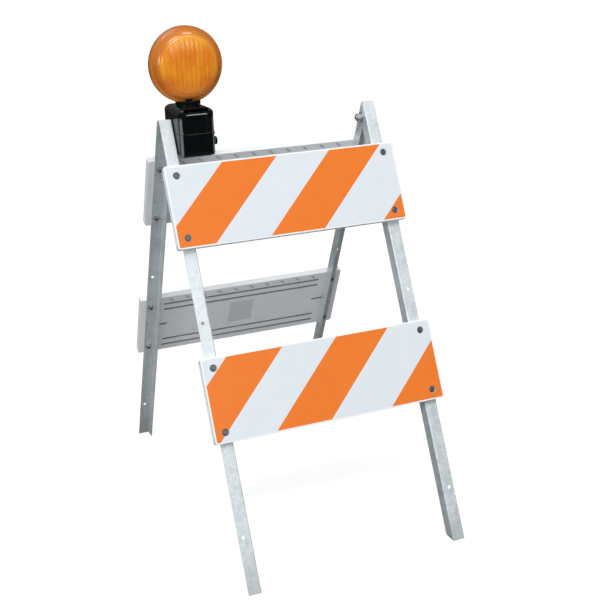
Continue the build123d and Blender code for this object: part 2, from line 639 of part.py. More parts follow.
def swivel_collar():
    """The neck that turns in the case's top, cupped at its upper end to hold the lens."""
    base = WASHER_TOP + GAP
    collar = Pos(0, 0, base) * Cylinder(COLLAR_RADIUS, COLLAR_TOP - base, align=CENTRED_DOWN)
    collar = chamfer(collar.edges().filter_by(GeomType.CIRCLE), 1.0)
    play = 0.15
    wall = (DOME_FOOT[0] + play, DOME_FOOT[1] + play)
    edge = LENS_RADIUS + play
    shoulder = (DOME_SHOULDER[0] + 1, DOME_SHOULDER[1] + 1.5)
    outline = [(0, DOME_TOP + 1), shoulder, wall, (edge, RIM_HEIGHT), (edge, 0), (0, 0)]
    seat = revolve(make_face(Polyline(*outline, close=True)), Axis.Y)
    collar -= Pos(0, 0, LENS_Z) * (seat + mirror(seat, about=Plane.XZ))
    collar += tube((0, 0, base), (0, 0, 1), LENS_SOCKET - play, POST_RADIUS, LENS_Z - LENS_RADIUS + 10 - base)
    collar -= rod((0, 0, base), (0, 0, 1), POST_RADIUS, COLLAR_TOP)
    neck = tube((0, 0, base), (0, 0, -1), NECK_RADIUS, NECK_BORE, base - CASE_TOP + 8)
    thick = RETAINER[1] + 0.1
    under = CASE_TOP - CASE_WALL - GAP
    neck -= tube((0, 0, under), (0, 0, -1), NECK_RADIUS + 1, RETAINER_GROOVE, thick)
    return collar + neck


def swivel_retainer():
    """The split ring under the case's top that keeps the neck from lifting out."""
    radius, thick = RETAINER
    top = CASE_TOP - CASE_WALL - GAP
    ring = tube((0, 0, top), (0, 0, -1), radius, RETAINER_GROOVE + 0.05, thick)
    return ring - Pos(radius, 0, top - thick / 2) * Box(radius, 6, 2 * thick)


def swivel_washer():
    thick = WASHER_TOP - CASE_TOP
    return tube((0, 0, CASE_TOP), (0, 0, 1), SWIVEL_WASHER_RADIUS, NECK_RADIUS + RUNNING_FIT, thick)


def led_post():
    """The tube that carries the light source up to the middle of the lens."""
    base = WASHER_TOP + GAP
    post = tube((0, 0, base), (0, 0, 1), POST_RADIUS - 0.05, POST_BORE, POST_TOP - base)
    slot = Pos(0, 0, POST_TOP) * Box(3 * POST_RADIUS, 1.8, 8)
    return post - slot


def led_board():
    board = extrude(Plane.XZ * RectangleRounded(LED_BOARD, LED_BOARD, 4), 0.8, both=True)
    board = Pos(0, 0, LENS_Z) * board
    tongue = block((-8, 8), (-0.8, 0.8), (POST_TOP - 3.5, LENS_Z - LED_BOARD / 2 + 1))
    return board + (tongue - rod((0, 0, POST_TOP - 5), (0, 0, 1), 3, 3.5))


def leds():
    """Round-topped diodes in a square grid on both faces of the board."""
    lamps = []
    for side in (-1, 1):
        for i in (-1, 0, 1):
            for j in (-1, 0, 1):
                x, z = i * LED_PITCH, LENS_Z + j * LED_PITCH
                body = rod((x, side * 0.8, z), (0, side, 0), LED_RADIUS, 6)
                dome = Pos(x, side * 6.8, z) * Sphere(LED_RADIUS)
                flange = rod((x, side * 0.8, z), (0, side, 0), LED_RADIUS + 0.4, 1)
                lamps.append(body + dome + flange)
    return group(lamps)


def photocell():
    return rod((0, -0.8, LENS_Z + LED_BOARD / 2 - 3.5), (0, -1, 0), 2.4, 2)


def head_leads():
    """Two wires from the light source down the post to the plug over the circuit board."""
    top = POST_TOP - 5
    bottom = PLUG_BOTTOM + 8
    return group([rod((x, 0, bottom), (0, 0, 1), WIRE_RADIUS, top - bottom) for x in (-1.8, 1.8)])


def lead_plug():
    return Pos(0, 0, PLUG_BOTTOM) * Box(9, 5, 8, align=CENTRED_DOWN)


def lamp_parts():
    """Every piece of the lamp, by name, around the bolt's axis."""
    jackets, nubs = cells()
    strips, springs = contacts()
    switch, slider = slide_switch()
    sleeve = tube((-CASE_WIDTH / 2, 0, 0), (1, 0, 0), SLEEVE_RADIUS, PIVOT_RADIUS + RUNNING_FIT, CASE_WIDTH)
    return {
        "battery_tub": battery_tub(),
        "case_cover": case_cover(),
        "case_gasket": case_gasket(),
        "case_screws": case_screws(),
        "lock_screw": lock_screw(),
        "bolt_sleeve": sleeve,
        "batteries": jackets,
        "battery_terminals": nubs,
        "contact_strips": strips,
        "contact_springs": springs,
        "cell_holder": cell_holder(),
        "board_posts": board_posts(),
        "circuit_board": circuit_board(),
        "board_components": board_components(),
        "switch_housing": switch,
        "switch_slider": slider,
        "swivel_washer": swivel_washer(),
        "swivel_collar": swivel_collar(),
        "swivel_retainer": swivel_retainer(),
        "front_lens": lens_half(-1),
        "rear_lens": lens_half(1),
        "lens_gasket": lens_gasket(),
        "lens_screws": lens_screws(),
        "led_post": led_post(),
        "led_board": led_board(),
        "leds": leds(),
        "photocell": photocell(),
        "head_leads": head_leads(),
        "lead_plug": lead_plug(),
    }


# --- everything in its place, one file for each piece ----------------------------------------------
def main():
    os.makedirs("parts", exist_ok=True)
    parts = {}
    turned = {"left_leg": "right_leg", "right_leg": "left_leg"}
    for name, part in frame_parts().items():
        front = standing(part)
        parts[f"front_{name}"] = front
        parts[f"rear_{turned.get(name, name)}"] = Rot(0, 0, 180) * front
    parts.update(pivot_hardware())
    for name, part in lamp_parts().items():
        parts[name] = Pos(LAMP_X, 0, PIVOT_HEIGHT) * part
    for name, part in parts.items():
        export_step(part, f"parts/{name}.step")


main()
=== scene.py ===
"""A folding A-frame barricade with a two-way lamp: its finishes, fine pieces, light and camera."""

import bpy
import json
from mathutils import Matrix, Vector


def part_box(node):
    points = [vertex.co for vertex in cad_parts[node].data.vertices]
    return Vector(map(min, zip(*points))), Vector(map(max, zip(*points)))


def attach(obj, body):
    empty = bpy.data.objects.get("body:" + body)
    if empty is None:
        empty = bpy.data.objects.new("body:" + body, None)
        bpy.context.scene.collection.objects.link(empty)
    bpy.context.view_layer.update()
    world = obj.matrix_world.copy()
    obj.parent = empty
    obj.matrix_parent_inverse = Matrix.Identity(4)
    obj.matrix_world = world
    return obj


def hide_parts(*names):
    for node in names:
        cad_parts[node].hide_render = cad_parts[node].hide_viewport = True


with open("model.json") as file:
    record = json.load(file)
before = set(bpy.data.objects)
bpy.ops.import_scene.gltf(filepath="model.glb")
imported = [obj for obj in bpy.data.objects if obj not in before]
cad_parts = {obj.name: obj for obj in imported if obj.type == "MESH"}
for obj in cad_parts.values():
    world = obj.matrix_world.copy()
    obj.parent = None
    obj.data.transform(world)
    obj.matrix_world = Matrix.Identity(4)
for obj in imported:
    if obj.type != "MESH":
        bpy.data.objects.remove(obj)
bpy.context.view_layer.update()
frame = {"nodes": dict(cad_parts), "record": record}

import json
from math import cos, pi, radians, sin

import bpy
from mathutils import Matrix, Vector
import numpy as np

MM = 0.001
LEAN = radians(25)  # each frame's lean from upright
BOARD_THICK = 19 * MM
BOARD_HALF_HEIGHT = 98 * MM  # to just inside a board's rounded edges
BOARD_HALF_LENGTH = 299 * MM
GROOVE_BOTTOM = 15 * MM  # from the back, just past the grooves and short of the front skin
TACKS_UP = 80 * MM  # from a board's middle to the lower ends of its tack marks
CORNER_HIGHLIGHT = (101.4 * MM, 102.8 * MM)  # across plus deep, from where an upright corner gets its painted highlight
CASE_HALF_WIDTH = 44.2 * MM
FLAT_FACE = 65.8 * MM  # from the case's middle to just behind the faces of its raised flats


# --- shader wiring -----------------------------------------------------------------------------
class Wire:
    """One output socket of a material, with arithmetic that adds Math nodes."""

    def __init__(self, tree, socket):
        self.tree = tree
        self.socket = socket

    def node(self, kind, settings=None, sockets=None, out=0):
        """Adds a node: its settings first, then a value or a wire for each of its sockets."""
        new = self.tree.nodes.new("ShaderNode" + kind)
        for key, value in (settings or {}).items():
            setattr(new, key, value)
        for key, value in (sockets or {}).items():
            if isinstance(value, Wire):
                self.tree.links.new(value.socket, new.inputs[key])
            else:
                new.inputs[key].default_value = value
        return Wire(self.tree, new.outputs[out])

    def maths(self, operation, *values, clamp=False):
        return self.node("Math", {"operation": operation, "use_clamp": clamp}, dict(enumerate(values)))

    def __add__(self, other):
        return self.maths("ADD", self, other)

    def __sub__(self, other):
        return self.maths("SUBTRACT", self, other)

    def __rsub__(self, other):
        return self.maths("SUBTRACT", other, self)

    def __mul__(self, other):
        return self.maths("MULTIPLY", self, other)

    def __pow__(self, other):
        return self.maths("POWER", self, other)

    __radd__ = __add__
    __rmul__ = __mul__


def step(value, low, high):
    """0 below low, 1 above high, smooth between."""
    settings = {"interpolation_type": "SMOOTHSTEP"}
    return value.node("MapRange", settings, {0: value, 1: low, 2: high})


def cosine(value):
    return value.maths("COSINE", value)


def part_of(place, axis):
    """One coordinate of a place: 0 is X, 1 is Y, 2 is Z."""
    return place.node("SeparateXYZ", None, {0: place}, axis)


def along_direction(place, direction):
    """How far a place lies along a direction from the origin."""
    settings = {"operation": "DOT_PRODUCT"}
    return place.node("VectorMath", settings, {0: place, 1: tuple(direction)}, "Value")


def turned(place, turn=(0, 0, 0), scale=(1, 1, 1)):
    return place.node("Mapping", None, {"Vector": place, "Rotation": turn, "Scale": scale})


def noise(place, size, detail=3.0, rough=0.55):
    """Cloudy values about 0.5, with lumps of roughly the given size in metres."""
    sockets = {"Vector": place, "Scale": 1 / size, "Detail": detail, "Roughness": rough}
    return place.node("TexNoise", None, sockets)


def flakes(place, size, out="Color"):
    """Random crystals of the given size, each with its own shade."""
    cell = place.node("TexVoronoi", None, {"Vector": place, "Scale": 1 / size}, out)
    return part_of(cell, 0) if out == "Color" else cell


def mix(mask, shade, other):
    """From one colour to another as the mask goes from 0 to 1."""
    sockets = {0: mask}
    for key, value in ((6, shade), (7, other)):
        sockets[key] = (*value, 1) if isinstance(value, tuple) else value
    return mask.node("Mix", {"data_type": "RGBA"}, sockets, 2)


def relief(height, depth, under=None):
    """A bump of the given depth in metres, laid over another one."""
    sockets = {"Height": height, "Distance": depth, "Strength": 1.0}
    if under:
        sockets["Normal"] = under
    return height.node("Bump", None, sockets)


class Finish:
    """A material named for its slot. Fixed values go straight on the shader's sockets."""

    def __init__(self, name, **fixed):
        self.material = bpy.data.materials.new(name)
        self.material.use_nodes = True
        self.tree = self.material.node_tree
        self.shader = self.tree.nodes["Principled BSDF"]
        for key, value in fixed.items():
            self.shader.inputs[key.replace("_", " ")].default_value = value
        texture = self.tree.nodes.new("ShaderNodeTexCoord")
        self.place = Wire(self.tree, texture.outputs["Object"])

    def set(self, colour, rough=None, normal=None):
        """Joins what varies over the surface to the shader and gives the material."""
        ends = {"Base Color": colour, "Roughness": rough, "Normal": normal}
        for key, wire in ends.items():
            if wire is not None:
                self.tree.links.new(wire.socket, self.shader.inputs[key])
        return self.material


# --- finishes ------------------------------------------------------------------------------------
def galvanised(lean):
    """Zinc-dipped steel: spangle, dull patches, runs down the leg, scratches, and scuffed feet."""
    f = Finish("galvanised_steel" + ("_front" if lean > 0 else "_rear"), Metallic=0.45)
    along = turned(f.place, (lean, 0, 0))
    spangle = flakes(along, 7 * MM) * 0.6 + flakes(along, 2.5 * MM) * 0.4
    dull = step(noise(along, 60 * MM, 4), 0.42, 0.68)
    runs = noise(turned(along, scale=(1, 1, 0.04)), 5 * MM, 2)
    scratch = step(noise(turned(along, (0.3, 0.4, 0.2), (1, 1, 0.03)), 1.1 * MM, 1), 0.70, 0.74)
    scuff = step(part_of(f.place, 2) + noise(along, 22 * MM, 4) * 0.12, 0.16, 0.06)
    zinc = mix(spangle, (0.60, 0.665, 0.685), (0.82, 0.885, 0.90))
    zinc = mix(dull * 0.55, zinc, (0.80, 0.84, 0.86))
    zinc = mix(step(runs, 0.52, 0.75) * 0.22, zinc, (0.42, 0.46, 0.47))
    zinc = mix(scratch * 0.5, zinc, (0.93, 0.95, 0.95))
    zinc = mix(scuff * 0.35, zinc, (0.30, 0.29, 0.27))
    rough = 0.36 + spangle * 0.14 + dull * 0.16 + scuff * 0.1
    bumps = relief(spangle + dull * 0.5, 0.02 * MM)
    return f.set(zinc, rough, relief(noise(along, 1.2 * MM, 2), 0.03 * MM, bumps))


def board_directions(lean):
    """Up a leaning frame's boards, and in through them from their outer face."""
    inwards = 1 if lean > 0 else -1
    up = np.array((0, sin(lean), cos(lean)))
    back = np.array((0, inwards * cos(lean), -sin(abs(lean))))
    return up, back


def board_middle(side, board):
    return np.mean([tuple(corner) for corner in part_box(f"{side}_{board}_panel")], axis=0)


def sunk_in_back(place, side, lean):
    """0 on a board's skins, rising to 1 in the grooves, tacks and mark that are sunk in its back."""
    up, back = board_directions(lean)
    middles = [board_middle(side, board) for board in ("top", "bottom")]
    depth = middles[0].dot(back) + BOARD_THICK / 2 - along_direction(place, back)
    climb = along_direction(place, up)
    heights = [place.maths("ABSOLUTE", climb - middle.dot(up)) for middle in middles]
    height = place.maths("MINIMUM", *heights)
    across = place.maths("ABSOLUTE", part_of(place, 0))
    inside = step(height, BOARD_HALF_HEIGHT, BOARD_HALF_HEIGHT - MM)
    inside = inside * step(across, BOARD_HALF_LENGTH, BOARD_HALF_LENGTH - MM)
    tacks = step(height, TACKS_UP - 2 * MM, TACKS_UP) * step(depth, 0.2 * MM, 1 * MM) * 0.7
    sunk = place.maths("MAXIMUM", step(depth, 0.2 * MM, 3 * MM), tacks)
    return inside * sunk * step(depth, GROOVE_BOTTOM + 0.8 * MM, GROOVE_BOTTOM)


def moulded_panel(side, lean):
    """White blow-moulded board: faint flow marks, fine grain, specks, and painted shade in its sunk
    lines.
    """
    f = Finish("panel_plastic_" + side, IOR=1.5)
    along = turned(f.place, (lean, 0, 0))
    clouds = noise(along, 90 * MM, 3)
    flow = noise(turned(along, scale=(0.12, 1, 1)), 9 * MM, 3)
    specks = step(noise(along, 2.2 * MM, 1), 0.70, 0.78)
    white = mix(clouds, (0.84, 0.86, 0.875), (0.93, 0.95, 0.96))
    white = mix(step(flow, 0.5, 0.8) * 0.25, white, (0.62, 0.63, 0.64))
    white = mix(specks * 0.35, white, (0.42, 0.40, 0.37))
    # painted shade: darker in the grooves, tack marks and mark sunk in the board's back
    white = mix(sunk_in_back(f.place, side, lean) * 0.62, white, (0.20, 0.20, 0.20))
    rough = 0.42 + clouds * 0.12 + specks * 0.2
    grain = relief(noise(along, 0.7 * MM, 2), 0.05 * MM)
    return f.set(white, rough, relief(flow, 0.12 * MM, grain))


def sheeting(name, shade, deep, lean):
    """Reflective sheet: a honeycomb of sealed cells, slightly cloudy, with small scuffs."""
    f = Finish(name + ("_front" if lean > 0 else "_rear"), IOR=1.3)
    along = turned(f.place, (lean, 0, 0))
    across, up = part_of(along, 0), part_of(along, 2)
    wave = 2 * pi / (3.2 * MM)
    comb = cosine(up * wave) + cosine(up * (wave / 2) + across * (wave * 0.866))
    comb = comb + cosine(up * (wave / 2) - across * (wave * 0.866))
    walls = step(comb, -0.9, -1.35)
    clouds = noise(along, 34 * MM, 4)
    scuffs = step(noise(turned(along, (0.2, 0.5, 0), (0.3, 1, 1)), 7 * MM, 3), 0.64, 0.72)
    colour = mix(clouds, deep, shade)
    colour = mix(walls * 0.30, colour, tuple(min(1.0, 0.25 + 0.9 * c) for c in shade))
    colour = mix(scuffs * 0.10, colour, (0.55, 0.52, 0.50))
    rough = 0.30 + clouds * 0.10 + scuffs * 0.2
    return f.set(colour, rough, relief(walls, 0.03 * MM))


def painted_edge_highlights(place):
    """Painted highlights: 1 along the top edges of the case's raised flats, up to 0.6 down its upright
    corners, else 0.
    """
    low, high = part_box("case_cover")
    across = place.maths("ABSOLUTE", part_of(place, 0) - (low.x + high.x) / 2)
    deep = place.maths("ABSOLUTE", part_of(place, 1))
    height = part_of(place, 2) - high.z
    corner = step(across + deep, *CORNER_HIGHLIGHT)
    corner = corner * step(across, CASE_HALF_WIDTH + 0.6 * MM, CASE_HALF_WIDTH)
    corner = corner * step(height, -18 * MM, -30 * MM)
    flat = step(deep, FLAT_FACE, FLAT_FACE + 0.6 * MM) * step(height, -16.9 * MM, -15.8 * MM)
    return corner * 0.6 + flat


def black_case():
    """Black moulded case: fine leather grain, dust, pale rubbed streaks, and painted highlights along
    its edges.
    """
    f = Finish("case_black", IOR=1.22)
    dust = step(noise(f.place, 26 * MM, 5), 0.50, 0.75)
    rub = step(noise(turned(f.place, (0.4, 0.2, 0.1), (1, 1, 0.08)), 2.2 * MM, 2), 0.66, 0.74)
    black = mix(dust * 0.5, (0.0025, 0.004, 0.004), (0.010, 0.013, 0.013))
    black = mix(rub * 0.25, black, (0.04, 0.045, 0.045))
    # painted highlight: pale lines on the top edges of the flats and down the upright corners
    black = mix(painted_edge_highlights(f.place), black, (0.26, 0.29, 0.29))
    grain = flakes(f.place, 0.9 * MM, "Distance")
    return f.set(black, 0.17 + dust * 0.12 + rub * 0.2, relief(grain, 0.02 * MM))


def amber_lens():
    """Amber polycarbonate, red in its clouds, with painted light and shade: yellower up the crown,
    darker flute stripes, a browner wall, a paler foot and a darker rim.
    """
    f = Finish("amber_lens", IOR=1.5, Transmission_Weight=0.06)
    centre = lens_centre()
    x, z = part_of(f.place, 0) - centre[0], part_of(f.place, 2) - centre[2]
    reach = (x * x + z * z) ** 0.5
    clouds = noise(turned(f.place, scale=(1, 1, 0.45)), 34 * MM, 3)
    flutes = cosine(x * (2 * pi / FLUTE_PITCH)) * 0.5 + 0.5
    amber = mix(step(clouds, 0.35, 0.66), (0.86, 0.200, 0.012), (0.96, 0.370, 0.016))
    # painted light and shade: yellower up the crown, darker stripes along the flutes, a browner wall and
    # a darker rim
    amber = mix(step(z, 10 * MM, 66 * MM) * 0.55, amber, (0.94, 0.43, 0.040))
    amber = mix(flutes * step(reach, 68 * MM, 60 * MM) * 0.18, amber, (0.68, 0.14, 0.008))
    amber = mix(step(reach, 66 * MM, 76 * MM) * 0.85, amber, (0.58, 0.165, 0.020))
    amber = mix(step(z, -30 * MM, -80 * MM) * 0.9, amber, (1.0, 0.34, 0.050))  # painted light: paler at its foot
    amber = mix(step(reach, 86 * MM, 90.5 * MM) * 0.5, amber, (0.30, 0.13, 0.035))
    pebble = relief(noise(f.place, 1.5 * MM, 1), 0.03 * MM)
    return f.set(amber, 0.18 + clouds * 0.10, pebble)


def plated(name, dark, light):
    """Zinc-plated steel gone dull: dark tarnish with specks of rust in the pits."""
    f = Finish(name, Metallic=0.9)
    tarnish = noise(f.place, 5 * MM, 4)
    rust = step(noise(f.place, 2.4 * MM, 3), 0.64, 0.72)
    steel = mix(tarnish, dark, light)
    steel = mix(rust * 0.5, steel, (0.16, 0.07, 0.03))
    return f.set(steel, 0.30 + tarnish * 0.2 + rust * 0.3, relief(tarnish + rust, 0.05 * MM))


def mottled(name, dark, light, size, rough, grain, **fixed):
    """A plain small part: two near shades in clouds, with its own fine grain."""
    f = Finish(name, **fixed)
    clouds = noise(f.place, size, 4)
    fine = noise(f.place, grain, 2)
    return f.set(mix(clouds, dark, light), rough + clouds * 0.15, relief(fine, 0.04 * MM))


def circuit_green():
    """Solder-masked laminate with copper tracks under the mask."""
    f = Finish("board_green", IOR=1.5, Coat_Weight=0.4)
    sockets = {"Vector": f.place, "Scale": 240.0}
    grid = f.place.node("TexVoronoi", {"distance": "CHEBYCHEV"}, sockets, "Distance")
    tracks = step(grid, 0.28, 0.24)
    clouds = noise(f.place, 12 * MM, 2)
    green = mix(clouds, (0.012, 0.10, 0.035), (0.02, 0.15, 0.05))
    return f.set(mix(tracks, green, (0.08, 0.30, 0.10)), 0.3 + clouds * 0.1, relief(tracks, 0.03 * MM))


def cell_jacket():
    """Printed steel jacket: a dark body under a copper-coloured top band, without any text."""
    f = Finish("cell_jacket", Metallic=0.6)
    low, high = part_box("batteries")
    band = step(part_of(f.place, 2), high.z - 16 * MM, high.z - 15.6 * MM)
    lines = step(noise(turned(f.place, scale=(1, 1, 0.02)), 2 * MM, 1), 0.55, 0.7)
    jacket = mix(band, (0.02, 0.02, 0.022), (0.55, 0.27, 0.09))
    return f.set(mix(lines * 0.1, jacket, (0.5, 0.5, 0.5)), 0.28 + lines * 0.1, relief(lines, 0.02 * MM))


def make_finishes():
    """Each record slot's material; those that follow a frame's lean come once for each frame."""
    finishes = {
        "case_black": black_case(),
        "amber_lens": amber_lens(),
        "plated_steel": plated("plated_steel", (0.42, 0.45, 0.45), (0.66, 0.69, 0.69)),
        # painted shade: the panel bolts get a darker copy of the plated steel, standing in for the shade
        # in their recesses
        "painted_shade_bolts": plated("plated_steel_painted_shade", (0.10, 0.10, 0.105), (0.22, 0.22, 0.225)),
        "contact_brass": plated("contact_brass", (0.55, 0.40, 0.16), (0.80, 0.66, 0.36)),
        "cell_jacket": cell_jacket(),
        "board_green": circuit_green(),
        "nylon": mottled("nylon", (0.62, 0.61, 0.55), (0.74, 0.73, 0.68), 8 * MM, 0.4, 0.5 * MM),
        "gasket_rubber": mottled(
            "gasket_rubber", (0.012, 0.012, 0.012), (0.03, 0.03, 0.03), 6 * MM, 0.6, 0.4 * MM),
        "component_black": mottled(
            "component_black", (0.012, 0.012, 0.014), (0.03, 0.03, 0.032), 3 * MM, 0.4, 0.3 * MM),
        "wire_red": mottled(
            "wire_red", (0.32, 0.015, 0.012), (0.45, 0.03, 0.02), 4 * MM, 0.35, 0.3 * MM),
        "slider_red": mottled(
            "slider_red", (0.38, 0.02, 0.012), (0.5, 0.035, 0.025), 2 * MM, 0.35, 0.3 * MM),
        "amber_diode": mottled(
            "amber_diode", (0.85, 0.40, 0.04), (0.95, 0.55, 0.08), 2 * MM, 0.1, 0.5 * MM,
            Transmission_Weight=0.4),
    }
    for frame_name, lean in (("front", LEAN), ("rear", -LEAN)):
        finishes["galvanised_steel", frame_name] = galvanised(lean)
        finishes["panel_plastic", frame_name] = moulded_panel(frame_name, lean)
        finishes["white_sheeting", frame_name] = sheeting(
            "white_sheeting", (0.75, 0.785, 0.815), (0.68, 0.745, 0.80), lean)
        finishes["orange_sheeting", frame_name] = sheeting(
            "orange_sheeting", (0.86, 0.205, 0.016), (0.81, 0.172, 0.010), lean)
    return finishes


def finish_nodes(finishes):
    """Gives every part carried over from the frame its slot's material."""
    for row in frame["record"]["subparts"]:
        node, slot = row["node"], row["material_slot"]
        piece = frame["nodes"][node]
        material = finishes.get(slot) or finishes[slot, node.split("_")[0]]
        piece.data.materials.clear()
        piece.data.materials.append(material)


# --- surfaces worked out on a grid -----------------------------------------------------------------
def rings(start, axis, radii, heights):
    """Circles about an axis: point (i, j) is radii[i, j] from the axis and heights[i, j] along it.

    The angle grows with j once round the axis, right-handed, from a side square to the axis.
    """
    axis = np.array(axis, float)
    side = np.array((0.0, 0.0, 1.0)) if abs(axis[2]) < 0.5 else np.array((1.0, 0.0, 0.0))
    side -= side.dot(axis) * axis
    side /= np.linalg.norm(side)
    other = np.cross(axis, side)
    angle = angles(radii.shape[1])
    out = np.cos(angle)[:, None] * side + np.sin(angle)[:, None] * other
    return np.array(start) + radii[..., None] * out + heights[..., None] * axis


def angles(count):
    return np.arange(count) * (2 * pi / count)


def solid(stack, ring=False):
    """Points and faces of a stack of rings, closed by a point at each end, or end to end as a ring."""
    rows, columns = stack.shape[:2]
    index = np.arange(rows * columns).reshape(rows, columns)
    after = np.roll(index, -1, axis=1)
    points = stack.reshape(-1, 3)
    if ring:
        above, above_after = np.roll(index, -1, axis=0), np.roll(after, -1, axis=0)
        return points, np.stack([index, after, above_after, above], -1).reshape(-1, 4).tolist()
    sides = np.stack([index[:-1], after[:-1], after[1:], index[1:]], -1).reshape(-1, 4).tolist()
    low, high = np.full(columns, len(points)), np.full(columns, len(points) + 1)
    low_cap = np.stack([low, after[0], index[0]], -1)
    high_cap = np.stack([high, index[-1], after[-1]], -1)
    points = np.vstack([points, stack[0].mean(0), stack[-1].mean(0)])
    return points, sides + low_cap.tolist() + high_cap.tolist()


def make_piece(name, shapes, material, crease=35):
    """One piece from one or more separate shapes, smooth but for edges sharper than the crease."""
    points, faces, count = [], [], 0
    for shape_points, shape_faces in shapes:
        points.append(shape_points)
        faces += [[corner + count for corner in face] for face in shape_faces]
        count += len(shape_points)
    mesh = bpy.data.meshes.new(name)
    mesh.from_pydata(np.vstack(points).tolist(), [], faces)
    mesh.shade_smooth()
    mesh.set_sharp_from_angle(angle=radians(crease))
    if material:
        mesh.materials.append(material)
    piece = bpy.data.objects.new(name, mesh)
    bpy.context.scene.collection.objects.link(piece)
    return piece


def stand_for(piece, node):
    """The piece rides on its part's body and is shown in its place."""
    record = frame["record"]
    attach(piece, next(body for body, nodes in record["behaviour"]["bodies"].items() if node in nodes))
    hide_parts(node)


def cut(piece, cutter):
    """Takes the cutter's space out of the piece and leaves a plain mesh."""
    change = piece.modifiers.new("cut", "BOOLEAN")
    change.object = cutter
    mesh = bpy.data.meshes.new_from_object(piece.evaluated_get(bpy.context.evaluated_depsgraph_get()))
    piece.modifiers.clear()
    piece.data = mesh
    bpy.data.objects.remove(cutter)


# --- threaded fasteners ------------------------------------------------------------------------------
TURN_STEPS = 48  # points round a bolt, a nut or a cutter
CORNER_START = 0.48  # of the width across flats: the radius where a hexagon's corners are turned off
CORNER_SLOPE = 1.9
THREAD_DEPTH = 0.55  # of the pitch
THREAD_CREST = 0.12  # of half the pitch: the flat on top of the thread


def hexagon(flats, heights, low, high):
    """Radii of a hexagonal bar: the flats, or the cones that turn its corners off, whichever is less."""
    angle = (angles(TURN_STEPS) + pi / 6) % (pi / 3) - pi / 6
    flat = flats / 2 / np.cos(angle)
    cone = flats * CORNER_START + CORNER_SLOPE * np.minimum(heights - low, high - heights)
    return np.minimum(flat[None, :], cone[:, None])


def thread(radius, pitch, heights, start, end):
    """Radii of a screw thread: a V that climbs one pitch each turn and runs out at both ends."""
    angle = angles(TURN_STEPS)[None, :] / (2 * pi)
    height = heights[:, None]
    groove = np.abs(((height / pitch - angle) % 1) * 2 - 1)
    run_out = np.clip(np.minimum(height - start, end - height) / pitch, 0, 1)
    return radius - THREAD_DEPTH * pitch * np.clip(groove - THREAD_CREST, 0, 1) * run_out


def bolt(seat, axis, radius, length, flats, head, pitch, threaded, flange=0.0):
    """Head, shank and thread along the axis: the seat is height 0 and the head lies below it."""
    brim = head * 0.3 if flange else 0.0
    head_heights = np.r_[-head, -head + head * np.array((0.03, 0.07, 0.12, 0.2)), -brim - 0.01 * MM]
    radii = [np.full((1, TURN_STEPS), flats * 0.40), hexagon(flats, head_heights, -head, length)]
    heights = [[-head], head_heights]
    if flange:
        radii += [np.full((1, TURN_STEPS), size) for size in (flange * 0.94, flange, flange)]
        heights += [[-brim], [-brim * 0.7], [0]]
    under = flange * 0.96 if flange else flats * CORNER_START
    radii += [np.full((1, TURN_STEPS), size) for size in (under, radius, radius)]
    heights += [[0], [0], [length - threaded]]
    rows = np.linspace(length - threaded, length - 0.6 * MM, max(2, round(threaded / pitch * 8)))
    radii += [thread(radius, pitch, rows, rows[0], length + pitch)]
    heights += [rows]
    tip = radius - 0.62 * pitch
    radii += [np.full((1, TURN_STEPS), size) for size in (tip, tip * 0.9)]
    heights += [[length - 0.1 * MM], [length]]
    heights = np.concatenate([np.array(group, float) for group in heights])
    heights = np.repeat(heights[:, None], TURN_STEPS, axis=1)
    return solid(rings(seat, axis, np.vstack(radii), heights))


def nut(seat, axis, bore, flats, thick):
    """A hexagon with both faces' corners turned off and a countersunk bore, from the seat upwards."""
    ends = thick * np.array((0.0, 0.03, 0.08, 0.16))
    outer_heights = np.r_[ends, thick - ends[::-1]]
    outer = hexagon(flats, outer_heights, 0, thick)
    sink = 0.5 * MM
    inner = [(bore + sink, thick), (bore, thick - sink), (bore, sink), (bore + sink, 0)]
    radii = np.vstack([outer] + [np.full((1, TURN_STEPS), radius) for radius, height in inner])
    heights = np.r_[outer_heights, [height for radius, height in inner]]
    return solid(rings(seat, axis, radii, np.repeat(heights[:, None], TURN_STEPS, axis=1)), ring=True)


PANEL_BOLT = 3.175 * MM
PANEL_FLATS = 11.1 * MM
PANEL_HEAD = 4.4 * MM
PANEL_FLANGE = 7.4 * MM
PANEL_PITCH = 1.27 * MM
PANEL_NUT = 5.6 * MM
PANEL_BOLT_LENGTH = 25.2 * MM
PANEL_NUT_SEAT = 16.6 * MM  # from under the head
BOLT_ACROSS = 276.0 * MM  # from the board's middle
BOLT_UP = 76.2 * MM
BOLT_SEAT = 3.5 * MM  # in front of the board's middle plane
PIVOT_BOLT = 6.35 * MM
PIVOT_FLATS = 19.05 * MM
PIVOT_HEAD = 8.0 * MM
PIVOT_PITCH = 1.95 * MM
PIVOT_NUT = 10.8 * MM


def panel_fasteners(finishes):
    """Each frame's eight panel bolts and nuts, placed from its boards' middles."""
    for side, sign in (("front", 1), ("rear", -1)):
        up, back = board_directions(sign * LEAN)
        across = np.array((1.0, 0, 0))
        bolts, nuts = [], []
        for board in ("top", "bottom"):
            middle = board_middle(side, board)
            for i in (-1, 1):
                for j in (-1, 1):
                    seat = middle + i * BOLT_ACROSS * across + j * BOLT_UP * up - BOLT_SEAT * back
                    bolts.append(bolt(seat, back, PANEL_BOLT, PANEL_BOLT_LENGTH, PANEL_FLATS, PANEL_HEAD,
                                      PANEL_PITCH, 10 * MM, PANEL_FLANGE))
                    under = seat + PANEL_NUT_SEAT * back
                    nuts.append(nut(under, back, PANEL_BOLT, PANEL_FLATS, PANEL_NUT))
        # painted shade: the bolts' darker plated steel stands in for the shade in their recesses
        all_bolts = make_piece(f"{side}_board_bolts", bolts, finishes["painted_shade_bolts"])
        stand_for(all_bolts, f"{side}_panel_bolts")
        all_nuts = make_piece(f"{side}_board_nuts", nuts, finishes["plated_steel"])
        stand_for(all_nuts, f"{side}_panel_nuts")


